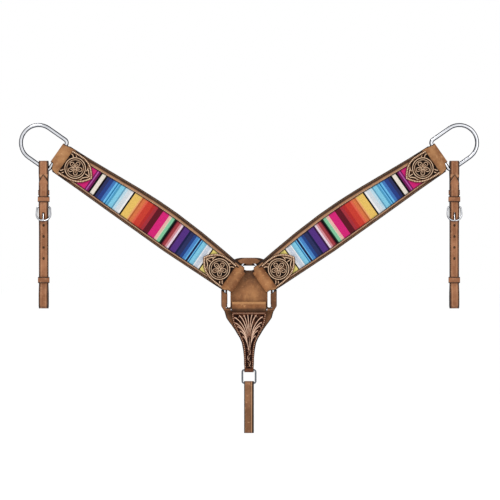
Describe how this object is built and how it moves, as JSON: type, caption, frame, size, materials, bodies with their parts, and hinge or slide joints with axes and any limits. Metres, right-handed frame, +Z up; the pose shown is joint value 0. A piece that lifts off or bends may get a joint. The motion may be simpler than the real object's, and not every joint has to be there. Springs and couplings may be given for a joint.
{
  "type": "horse breast collar",
  "caption": "Western leather breast collar: two striped cloth wings, a ring at the chest, a tooled drop, large end dees and short buckled straps.",
  "frame": {"origin": "the middle of the ring safe's back face, where it lies on the horse's chest", "axes": "+X along the collar towards the horse's near-side wing as seen from the front, +Y back into the chest, +Z up"},
  "size_m": [0.92, 0.021, 0.6199],
  "materials": {
    "plain_leather": "rough-out, oiled, matt",
    "dark_leather": "smooth, dark-dyed edges",
    "tooled_leather": "carved, antiqued, semi-gloss",
    "serape_cloth": "striped weave, matt",
    "nickel": "polished nickel plate"
  },
  "bodies": {
    "centre": {"centre_ring": "nickel", "ring_safe": "plain_leather", "ring_wrap_top": "plain_leather", "ring_wrap_left": "plain_leather", "ring_wrap_right": "plain_leather"},
    "left_wing": {"left_wing_backing": "dark_leather", "left_wing_border": "plain_leather", "left_serape_panel": "serape_cloth", "left_inner_overlay": "tooled_leather", "left_outer_overlay": "tooled_leather", "left_inner_loop": "plain_leather", "left_outer_loop": "plain_leather"},
    "left_dee": {"left_dee": "nickel"},
    "left_tug": {"left_tug_strap": "plain_leather", "left_upper_keeper": "plain_leather", "left_middle_keeper": "plain_leather"},
    "left_buckle": {"left_buckle_frame": "nickel"},
    "left_tongue": {"left_buckle_tongue": "nickel"},
    "left_lower_keeper": {"left_lower_keeper": "plain_leather"},
    "right_wing": {"right_wing_backing": "dark_leather", "right_wing_border": "plain_leather", "right_serape_panel": "serape_cloth", "right_inner_overlay": "tooled_leather", "right_outer_overlay": "tooled_leather", "right_inner_loop": "plain_leather", "right_outer_loop": "plain_leather"},
    "right_dee": {"right_dee": "nickel"},
    "right_tug": {"right_tug_strap": "plain_leather", "right_upper_keeper": "plain_leather", "right_middle_keeper": "plain_leather"},
    "right_buckle": {"right_buckle_frame": "nickel"},
    "right_tongue": {"right_buckle_tongue": "nickel"},
    "right_lower_keeper": {"right_lower_keeper": "plain_leather"},
    "drop": {"drop_loop": "plain_leather", "drop_backing": "dark_leather", "drop_overlay": "tooled_leather"},
    "drop_ring": {"drop_ring": "nickel"},
    "girth_strap": {"girth_strap": "plain_leather"}
  },
  "joints": [
    {"name": "left_wing_hinge", "type": "hinge", "parent": "centre", "child": "left_wing", "pos_m": [-0.02949, -0.0084, 0.02065], "axis": [-0.5736, 0, -0.8192], "range_deg": [-30, 60], "deforming": ["ring_safe"]},
    {"name": "left_dee_hinge", "type": "hinge", "parent": "left_wing", "child": "left_dee", "pos_m": [-0.37886, -0.0084, 0.26528], "axis": [-0.5736, 0, -0.8192], "range_deg": [-60, 75]},
    {"name": "left_tug_swing", "type": "hinge", "parent": "left_dee", "child": "left_tug", "pos_m": [-0.4105, -0.0084, 0.23799], "axis": [0.8192, 0, -0.5736], "range_deg": [-25, 25]},
    {"name": "left_buckle_hinge", "type": "hinge", "parent": "left_tug", "child": "left_buckle", "pos_m": [-0.4105, -0.0103, 0.16], "axis": [-1, 0, 0], "range_deg": [0, 2]},
    {"name": "left_tongue_hinge", "type": "hinge", "parent": "left_buckle", "child": "left_tongue", "pos_m": [-0.4105, -0.0103, 0.16], "axis": [-1, 0, 0], "range_deg": [0, 2]},
    {"name": "left_keeper_slide", "type": "slide", "parent": "left_tug", "child": "left_lower_keeper", "axis": [0, 0, 1], "range_m": [0, 0.085]},
    {"name": "right_wing_hinge", "type": "hinge", "parent": "centre", "child": "right_wing", "pos_m": [0.02949, -0.0084, 0.02065], "axis": [-0.5736, 0, 0.8192], "range_deg": [-30, 60], "deforming": ["ring_safe"]},
    {"name": "right_dee_hinge", "type": "hinge", "parent": "right_wing", "child": "right_dee", "pos_m": [0.37886, -0.0084, 0.26528], "axis": [-0.5736, 0, 0.8192], "range_deg": [-60, 75]},
    {"name": "right_tug_swing", "type": "hinge", "parent": "right_dee", "child": "right_tug", "pos_m": [0.4105, -0.0084, 0.23799], "axis": [0.8192, 0, 0.5736], "range_deg": [-25, 25]},
    {"name": "right_buckle_hinge", "type": "hinge", "parent": "right_tug", "child": "right_buckle", "pos_m": [0.4105, -0.0103, 0.16], "axis": [-1, 0, 0], "range_deg": [0, 2]},
    {"name": "right_tongue_hinge", "type": "hinge", "parent": "right_buckle", "child": "right_tongue", "pos_m": [0.4105, -0.0103, 0.16], "axis": [-1, 0, 0], "range_deg": [0, 2]},
    {"name": "right_keeper_slide", "type": "slide", "parent": "right_tug", "child": "right_lower_keeper", "axis": [0, 0, 1], "range_m": [0, 0.085]},
    {"name": "drop_hinge", "type": "hinge", "parent": "centre", "child": "drop", "pos_m": [0, -0.0084, -0.045], "axis": [1, 0, 0], "range_deg": [-60, 80], "deforming": ["ring_safe"]},
    {"name": "drop_ring_hinge", "type": "hinge", "parent": "drop", "child": "drop_ring", "pos_m": [0, -0.00915, -0.16575], "axis": [1, 0, 0], "range_deg": [-90, 90]},
    {"name": "girth_strap_hinge", "type": "hinge", "parent": "drop_ring", "child": "girth_strap", "pos_m": [0, -0.00915, -0.19225], "axis": [1, 0, 0], "range_deg": [-90, 90]}
  ]
}
